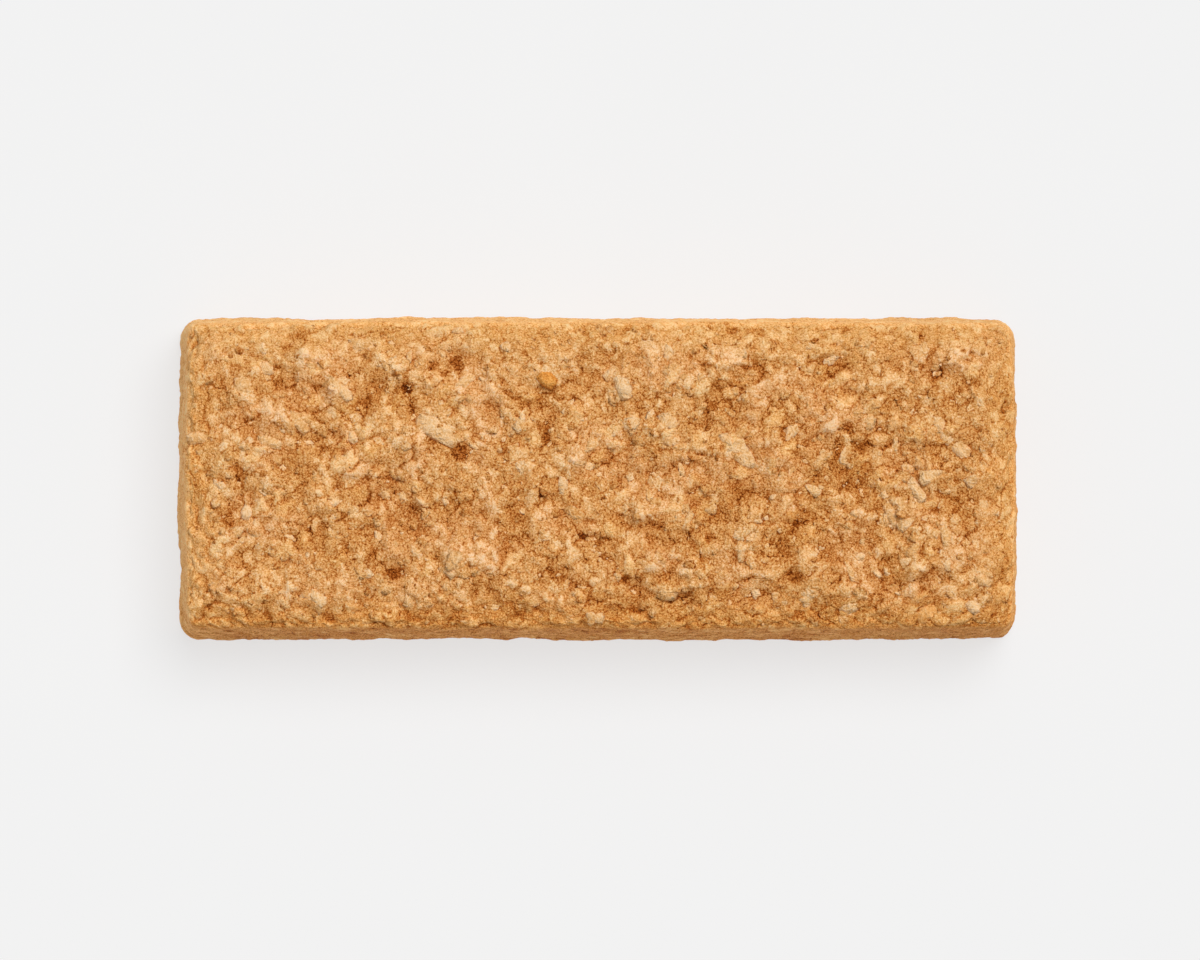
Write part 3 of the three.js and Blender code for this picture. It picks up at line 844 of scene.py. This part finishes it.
@dataclass
class CrumbBlock:
    """The pressed and baked block, from its flat underside to its rough top."""

    low: Vector
    high: Vector
    lean: float = 1.1 * MM
    pitch: float = 0.270 * MM  # of the mesh, seen from above
    wall_pitch: float = 0.38 * MM  # of its rows on the walls
    even_out: int = 8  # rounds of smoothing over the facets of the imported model
    rim_reach: float = 6.0  # in millimetres
    rim_calm: float = 0.90  # share of the crumb's relief that is left at the rim
    wall_calm: float = 0.34  # share of that which is left on the walls
    swell: float = 0.2  # of the walls, to make up for their hollows, in millimetres
    bed_depth: float = 0.05  # in millimetres
    near: int = 14  # rounds of blurring that reach over a grain
    far: int = 250  # rounds of blurring that reach over a clump
    pit_depth: float = 0.5  # share of the pits' depth that is modelled
    crumb: CrumbField = CrumbField()

    def build(self) -> bpy.types.Object:
        """Models the block.

        Returns:
            The block with its crumb raised.
        """
        block = self._blank()
        self._follow_packed_model(block)
        self._close_underside(block)
        points = read_vectors(block.data.vertices, "co")
        write_attribute(block.data, PIT, "FLOAT", sum(dent.at(points) for dent in DENTS))
        write_attribute(block.data, TONE, "FLOAT", sum(patch.at(points) for patch in PATCHES))
        write_attribute(block.data, BED, "FLOAT", np.max([chip.bed(points) for chip in CHIPS], axis=0))
        self._raise_crumb(block)
        bpy.ops.object.shade_smooth()
        block.data.materials.append(CrustFinish().material())
        return block

    def _blank(self) -> bpy.types.Object:
        """Models the plain block: a cube cut into fine strips each way, with leaning walls.

        Returns:
            The plain block.
        """
        deselect_all()
        size = self.high - self.low
        middle = (self.low + self.high) / 2
        bpy.ops.mesh.primitive_cube_add(size=1.0, location=middle, scale=size)
        block = bpy.context.object
        block.name = "crumb_block"
        bpy.ops.object.transform_apply(location=True, rotation=True, scale=True)
        bpy.ops.object.mode_set(mode="EDIT")
        drawn_in = 2 * self.lean
        select_parts(block, "VERT", lambda vert: vert.co.z > middle.z)
        shares = (1 - drawn_in / size.x, 1 - drawn_in / size.y, 1.0)
        bpy.ops.transform.resize(value=shares, center_override=middle)
        for axis, pitch in enumerate((self.pitch, self.pitch, self.wall_pitch)):
            self._cut_strips(block, axis, size[axis], pitch)
        bpy.ops.object.mode_set(mode="OBJECT")
        return block

    @staticmethod
    def _cut_strips(block: bpy.types.Object, axis: int, length: float, pitch: float) -> None:
        """Cuts the block into even strips across one axis.

        Args:
            block: The block in edit mode.
            axis: The axis that the cuts lie across.
            length: The block's length along it.
            pitch: How wide a strip is.
        """
        def runs_along(edge: bmesh.types.BMEdge) -> bool:
            ends = edge.verts[1].co - edge.verts[0].co
            return abs(ends[axis]) > 0.9 * ends.length

        coarse = round(math.sqrt(length / pitch))
        for strips in (coarse, round(length / pitch / coarse)):
            select_parts(block, "EDGE", runs_along)
            bpy.ops.mesh.subdivide(number_cuts=strips - 1)

    def _follow_packed_model(self, block: bpy.types.Object) -> None:
        """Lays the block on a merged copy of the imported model, and evens out that model's facets.

        Args:
            block: The plain block.
        """
        packed = frame["nodes"][CAD_NODE]
        guide = packed.copy()
        guide.data = packed.data.copy()
        bpy.context.scene.collection.objects.link(guide)
        make_active(guide)
        bpy.ops.object.mode_set(mode="EDIT")
        bpy.ops.mesh.select_all(action="SELECT")
        bpy.ops.mesh.remove_doubles(threshold=0.001 * MM)
        bpy.ops.object.mode_set(mode="OBJECT")
        apply_modifier(block, "SHRINKWRAP", target=guide, wrap_method="NEAREST_SURFACEPOINT")
        apply_modifier(block, "SMOOTH", factor=0.5, iterations=self.even_out)
        bpy.data.objects.remove(guide)

    def _close_underside(self, block: bpy.types.Object) -> None:
        """Makes the flat underside of few faces, as nothing of it shows."""
        make_active(block)
        bpy.ops.object.mode_set(mode="EDIT")
        select_parts(block, "FACE", lambda face: face.normal.z < -0.99 and face.calc_center_median().z < 0.05 * MM)
        bpy.ops.mesh.dissolve_faces()
        bpy.ops.mesh.poke()
        bpy.ops.object.mode_set(mode="OBJECT")

    def _raise_crumb(self, block: bpy.types.Object) -> None:
        """Raises the crumb along the broad surface, and writes what the finish reads.

        Args:
            block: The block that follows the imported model.
        """
        graph, shape = geometry_graph("raise_crumb")
        place = graph.node("GeometryNodeInputPosition", {}, {})
        normal = self._blur(graph, graph.node("GeometryNodeInputNormal", {}, {}), self.near)
        facing = graph.node("ShaderNodeVectorMath", {"operation": "NORMALIZE"}, {0: normal})
        shape = self._carry(graph, shape, LIE, facing, "FLOAT_VECTOR")
        lie = graph.attribute(LIE, "FLOAT_VECTOR")
        half_x = self.high.x - self.lean
        half_y = self.high.y - self.lean
        inward = (half_x - place.part(0).size()).least(half_y - place.part(1).size()) * (1 / MM)
        rim = inward.step(self.rim_reach, 0.3)
        wall = lie.part(2).step(0.75, 0.35)
        relief = self.crumb.relief(graph, graph.laid_out(place, rim))
        pit = graph.attribute(PIT)
        pit = pit * (pit + relief.ragged * 1.6).step(0.1, 0.6) * self.pit_depth
        shape = self._carry(graph, shape, REST, place, "FLOAT_VECTOR")
        for name, value in {RIM: rim, WALL: wall}.items():
            shape = self._carry(graph, shape, name, value, "FLOAT")

        bed = graph.attribute(BED) * (1 - wall)
        calm = (1 - rim * (1 - self.rim_calm)) * (1 - wall * (1 - self.wall_calm))
        off_floor = place.part(2).step(0.1 * MM, 1.2 * MM)
        raised = (relief.dough + relief.grains * (1 - bed) + wall * self.swell) * calm - pit - bed * self.bed_depth
        offset = lie * (raised * off_floor * MM)
        shape = graph.node("GeometryNodeSetPosition", {}, {"Geometry": shape, "Offset": offset})
        for name, rounds in ((CAVITY, self.near), (HOLLOW, self.far)):
            under = (self._blur(graph, place, rounds) - place).dot(lie) * (1 / MM)
            shape = self._carry(graph, shape, name, under, "FLOAT")
        graph.deliver(shape)
        apply_modifier(block, "NODES", node_group=graph.tree)

    @staticmethod
    def _blur(graph: Graph, value: Value, rounds: int) -> Value:
        """Evens a vector out over the points around each point."""
        inputs = {"Value": value, "Iterations": rounds}
        return graph.node("GeometryNodeBlurAttribute", {"data_type": "FLOAT_VECTOR"}, inputs)

    @staticmethod
    def _carry(graph: Graph, shape: Value, name: str, value: Value, kind: str) -> Value:
        """Writes a value on a geometry under a name, and returns the geometry."""
        inputs = {"Geometry": shape, "Name": name, "Value": value}
        return graph.node("GeometryNodeStoreNamedAttribute", {"data_type": kind, "domain": "POINT"}, inputs)


class Ground:
    """The block's finished surface, on which small pieces are set."""

    def __init__(self, block: bpy.types.Object) -> None:
        """Reads a block's surface."""
        mesh = block.data
        self.tree = BVHTree.FromPolygons(
            [vertex.co for vertex in mesh.vertices], [face.vertices for face in mesh.polygons]
        )
        self.lie = read_vectors(mesh.attributes[LIE].data, "vector")
        self.corner = [face.vertices[0] for face in mesh.polygons]

    def under(self, x: float, y: float) -> tuple[Vector, Vector] | None:
        """Finds the top's surface at a place in plan, and the way it faces there, or None beside the block."""
        point, _, face, _ = self.tree.ray_cast(Vector((x, y, 1.0)), Vector((0, 0, -1)))
        return None if point is None else (point, Vector(self.lie[self.corner[face]]))


@dataclass(frozen=True)
class Setting:
    """How one small piece is set in the surface."""

    point: Vector
    facing: Vector  # the way its flat side faces
    turn: float  # of its length about that, in radians
    tilt: tuple[float, float]
    size: tuple[float, float, float]
    form: Form
    tone: float
    sink: float  # share of its thickness by which its middle lies under the surface
    amber: float = 0.0

    def middle(self) -> Vector:
        """Gives the piece's middle."""
        return self.point - self.facing * (self.sink * self.size[2])

    def rotation(self) -> Euler:
        """Gives the piece's rotation."""
        lie = Vector((0, 0, 1)).rotation_difference(self.facing)
        return (lie @ Euler((*self.tilt, self.turn)).to_quaternion()).to_euler()


@dataclass
class Morsels:
    """Small pieces of one kind as one joined mesh, each a copy of one of a few forms."""

    name: str
    finish: Finish
    seed: int = 7

    def build(self, settings: list[Setting]) -> bpy.types.Object:
        """Models the forms, copies them to their places and joins the copies.

        Args:
            settings: How each piece is set.

        Returns:
            The joined pieces.
        """
        forms = self._forms()
        mesh = bpy.data.meshes.new(self.name)
        mesh.vertices.add(len(settings))
        mesh.vertices.foreach_set("co", np.array([s.middle() for s in settings], dtype=np.float32).ravel())
        write_attribute(mesh, "turn", "FLOAT_VECTOR", np.array([s.rotation()[:] for s in settings]))
        write_attribute(mesh, "size", "FLOAT_VECTOR", np.array([s.size for s in settings]))
        write_attribute(mesh, "form", "INT", np.array([s.form.value for s in settings]))
        write_attribute(mesh, TONE, "FLOAT", np.array([s.tone for s in settings]))
        write_attribute(mesh, AMBER, "FLOAT", np.array([s.amber for s in settings]))
        pieces = bpy.data.objects.new(self.name, mesh)
        bpy.context.scene.collection.objects.link(pieces)

        graph, points = geometry_graph("set_pieces")
        inputs = {"Collection": forms, "Separate Children": True, "Reset Children": True}
        choice = graph.node("GeometryNodeCollectionInfo", {}, inputs)
        turn = graph.node("FunctionNodeEulerToRotation", {}, {0: graph.attribute("turn", "FLOAT_VECTOR")})
        inputs = {
            "Points": points,
            "Instance": choice,
            "Pick Instance": True,
            "Instance Index": graph.attribute("form", "INT"),
            "Rotation": turn,
            "Scale": graph.attribute("size", "FLOAT_VECTOR"),
        }
        copies = graph.node("GeometryNodeInstanceOnPoints", {}, inputs)
        graph.deliver(graph.node("GeometryNodeRealizeInstances", {}, {0: copies}))
        apply_modifier(pieces, "NODES", node_group=graph.tree)
        for spent in ("turn", "size", "form"):
            pieces.data.attributes.remove(pieces.data.attributes[spent])
        for form in list(forms.objects):
            bpy.data.objects.remove(form)
        bpy.data.collections.remove(forms)
        pieces.data.materials.clear()
        pieces.data.materials.append(self.finish.material())
        return pieces

    def _forms(self) -> bpy.types.Collection:
        """Models each form once, about 1 long each way, and writes how far up each point of it lies.

        Returns:
            A collection of them, in order of their numbers.
        """
        forms = bpy.data.collections.new(f"{self.name}_forms")
        for form in Form:
            deselect_all()
            bpy.ops.mesh.primitive_cube_add(size=0.78)
            made = bpy.context.object
            made.name = f"form_{form.value}"
            bpy.ops.object.mode_set(mode="EDIT")
            bpy.ops.mesh.select_all(action="SELECT")
            bpy.ops.transform.vertex_random(offset=0.16, uniform=1.0, seed=self.seed + form.value)
            fine = form in {Form.SHARD, Form.CHIP, Form.SPLINTER}
            bpy.ops.mesh.subdivide(number_cuts=2 if fine else 1, smoothness=form.roundness)
            bpy.ops.transform.vertex_random(offset=0.08, uniform=1.0, seed=self.seed + form.value)
            bpy.ops.mesh.normals_make_consistent(inside=False)
            bpy.ops.object.mode_set(mode="OBJECT")
            bpy.ops.object.shade_smooth()
            height = read_vectors(made.data.vertices, "co")[:, 2]
            write_attribute(made.data, CROWN, "FLOAT", np.clip(height / 0.30, 0.0, 1.0))
            for home in list(made.users_collection):
                home.objects.unlink(made)
            forms.objects.link(made)
        return forms


@dataclass
class Topping:
    """Where the pale chips and the loose crumbs lie."""

    ground: Ground
    low: Vector
    high: Vector
    chips: int = 560
    chip_lengths: tuple[float, float] = (0.6, 2.4)  # in millimetres
    chip_widths: tuple[float, float] = (0.4, 0.75)  # as shares of the length
    chip_thickness: float = 1.0
    chip_tones: tuple[float, float] = (0.60, 0.88)
    chip_sinks: tuple[float, float] = (0.35, 0.75)  # as shares of the thickness
    chip_tilt: float = 0.12
    landmark_sink: float = 0.22  # of the chips that stand out, as a share of their thickness
    gap: float = 1.75 * MM  # from one loose crumb to the next on the top
    inset: float = 1.8 * MM  # of the top's outermost pieces from the block's box
    crumb_sizes: tuple[float, float] = (0.50, 1.50)
    crumb_widths: tuple[float, float] = (0.6, 0.95)  # as shares of the length, like the heights
    crumb_heights: tuple[float, float] = (0.35, 0.6)
    crumb_tone: tuple[float, float] = (0.58, 0.10)  # the mean and the spread
    crumb_sinks: tuple[float, float] = (0.4, 0.9)
    crumb_tilt: float = 0.3
    seed: int = 31

    def __post_init__(self) -> None:
        """Starts the stream of chance numbers."""
        self.random = np.random.default_rng(self.seed)

    def chip_settings(self) -> list[Setting]:
        """Sets the chips that stand out, and then the scattered ones.

        Returns:
            How each chip is set.
        """
        settings = [self._from_above(chip, self.landmark_sink) for chip in CHIPS]
        for _ in range(self.chips):
            least, most = self.chip_lengths
            length = least + (most - least) * self.random.random() ** 2
            spot = self._anywhere()
            chip = Chip(
                x=spot.x / MM,
                y=spot.y / MM,
                length=length,
                width=length * self.random.uniform(*self.chip_widths),
                turn=self.random.uniform(0, 360),
                form=Form(int(self.random.integers(1, 5))),
                tone=self.random.uniform(*self.chip_tones),
            )
            settings.append(self._from_above(chip, self.random.uniform(*self.chip_sinks)))
        return [setting for setting in settings if setting]

    def crumb_settings(self) -> list[Setting]:
        """Sets the loose crumbs in an uneven grid over the top.

        Returns:
            How each crumb is set.
        """
        reach = self.high - Vector((self.inset, self.inset, 0))
        columns, rows = (int(2 * half / self.gap) for half in reach.xy)
        stray = self.random.random((columns, rows, 2))
        spots = (
            (-reach.x + (i + stray[i, j, 0]) * self.gap, -reach.y + (j + stray[i, j, 1]) * self.gap)
            for i in range(columns)
            for j in range(rows)
        )
        settings = [self._crumb(x, y) for x, y in spots]
        return [setting for setting in settings if setting]

    def _anywhere(self) -> Vector:
        """Picks a point over the top."""
        reach = self.high - Vector((2 * self.inset, 2 * self.inset, 0))
        return Vector((self.random.uniform(-reach.x, reach.x), self.random.uniform(-reach.y, reach.y), 0))

    def _from_above(self, chip: Chip, sink: float) -> Setting | None:
        """Sets a chip at the mean height of the surface under it."""
        turn = math.radians(chip.turn)
        along = Vector((math.cos(turn), math.sin(turn), 0)) * (0.3 * chip.length * MM)
        across = Vector((-math.sin(turn), math.cos(turn), 0)) * (0.3 * chip.width * MM)
        start = Vector((chip.x * MM, chip.y * MM, 0))
        spots = (start, start + along, start - along, start + across, start - across)
        found = [self.ground.under(spot.x, spot.y) for spot in spots]
        if None in found:
            return None
        met = (sum((point for point, _ in found), Vector()) / len(found), found[0][1])
        tilt = tuple(self.random.normal(0, self.chip_tilt, 2))
        thickness = min(self.chip_thickness, 0.8 * chip.width)
        size = (chip.length * MM, chip.width * MM, thickness * MM)
        return Setting(*met, turn, tilt, size, chip.form, chip.tone, sink, chip.amber)

    def _crumb(self, x: float, y: float) -> Setting | None:
        """Sets a loose crumb on the surface."""
        random = self.random
        least, most = self.crumb_sizes
        length = (least + (most - least) * random.random() ** 2.2) * MM
        size = (length, length * random.uniform(*self.crumb_widths), length * random.uniform(*self.crumb_heights))
        tilt = tuple(random.normal(0, self.crumb_tilt, 2))
        turn = random.uniform(0, 2 * math.pi)
        tone = float(np.clip(random.normal(*self.crumb_tone), 0.40, 0.85))
        form = Form(int(random.integers(0, 4)))
        sink = random.uniform(*self.crumb_sinks)
        met = self.ground.under(x, y)
        return None if met is None else Setting(*met, turn, tilt, size, form, tone, sink)


@dataclass
class Studio:
    """A pale lit floor, soft light from behind and to the right, and the camera above the bar."""

    distance: float = 1.0
    frame_width: float = 140.7 * MM  # what the picture spans at the bar's top
    toward_front: float = math.radians(1.8)
    toward_left: float = math.radians(1.45)
    target: tuple[float, float] = (-0.10 * MM, -0.59 * MM)
    top: float = 15 * MM
    sensor: float = 36.0
    sky: float = 0.38
    key: float = 2.40
    key_tilt: float = math.radians(26)
    key_side: float = math.radians(35)  # the light's direction in plan, from +Y towards +X
    key_spread: float = math.radians(38)
    floor_glow: float = 0.670
    floor_colour: float = 0.205

    def build(self) -> None:
        """Builds the floor, the lights and the camera."""
        self._floor()
        self._lights()
        self._camera()
        view = bpy.context.scene.view_settings
        view.view_transform = "Standard"
        view.look = "None"

    def _floor(self) -> None:
        """Lays the floor, a pale sheet lit from below, so that its shadows stay faint."""
        deselect_all()
        bpy.ops.mesh.primitive_plane_add(size=4.0, location=(0, 0, 0))
        floor = bpy.context.object
        floor.name = "floor"
        made = bpy.data.materials.new("pale_floor")
        made.use_nodes = True
        made.node_tree.nodes.clear()
        graph = Graph(made.node_tree)
        place = graph.node("ShaderNodeTexCoord", {}, {}, "Object")
        grey = self.floor_colour
        colour = graph.mix(graph.noise(place, 0.05) + 0.5, (0.97 * grey,) * 3, (1.03 * grey,) * 3)
        inputs = {
            "Base Color": colour,
            "Roughness": 1.0,
            "Specular IOR Level": 0.0,
            "Emission Color": (1.0, 1.0, 1.0),
            "Emission Strength": self.floor_glow,
        }
        graph.deliver(graph.node("ShaderNodeBsdfPrincipled", {}, inputs))
        floor.data.materials.append(made)

    def _lights(self) -> None:
        """Sets the even light of the room and the large soft light over the back right."""
        world = bpy.data.worlds.new("room")
        bpy.context.scene.world = world
        world.use_nodes = True
        back = world.node_tree.nodes["Background"]
        back.inputs["Color"].default_value = (1.0, 1.0, 1.0, 1.0)
        back.inputs["Strength"].default_value = self.sky
        turn = Euler((-self.key_tilt, 0.0, -self.key_side), "XYZ")
        bpy.ops.object.light_add(type="SUN", location=(0.2, 0.3, 0.8), rotation=turn)
        key = bpy.context.object
        key.name = "key_light"
        key.data.energy = self.key
        key.data.angle = self.key_spread

    def _camera(self) -> None:
        """Sets the camera, which looks down from a little in front and to the left of the bar's middle."""
        back = Vector((-math.sin(self.toward_left), -math.sin(self.toward_front), 1.0)).normalized()
        side = (Vector((1.0, 0.0, 0.0)) - back * back.x).normalized()
        place = Matrix.Translation(Vector((*self.target, self.top)) + back * self.distance)
        turn = Matrix((side, back.cross(side), back)).transposed().to_4x4()
        bpy.ops.object.camera_add()
        camera = bpy.context.object
        camera.matrix_world = place @ turn
        camera.data.sensor_width = self.sensor
        camera.data.lens = self.sensor * self.distance / self.frame_width
        bpy.context.scene.camera = camera


def main() -> None:
    """Builds the bar and the studio, and reports each piece."""
    logging.basicConfig(level=logging.INFO, format="%(message)s")
    low, high = (Vector(corner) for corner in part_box(CAD_NODE))
    block = CrumbBlock(low, high).build()
    topping = Topping(Ground(block), low, high)
    chips = Morsels("oat_chips", MorselFinish(name="pale_oats", grain=0.8)).build(topping.chip_settings())
    crumbs = Morsels("loose_crumbs", MorselFinish(name="toasted_bits")).build(topping.crumb_settings())
    for piece in (block, chips, crumbs):
        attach(piece, BODY)
        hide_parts(CAD_NODE)
        triangles = sum(len(face.vertices) - 2 for face in piece.data.polygons)
        LOG.info("%s: %d triangles", piece.name, triangles)
    Studio().build()


if __name__ == "__main__":
    main()
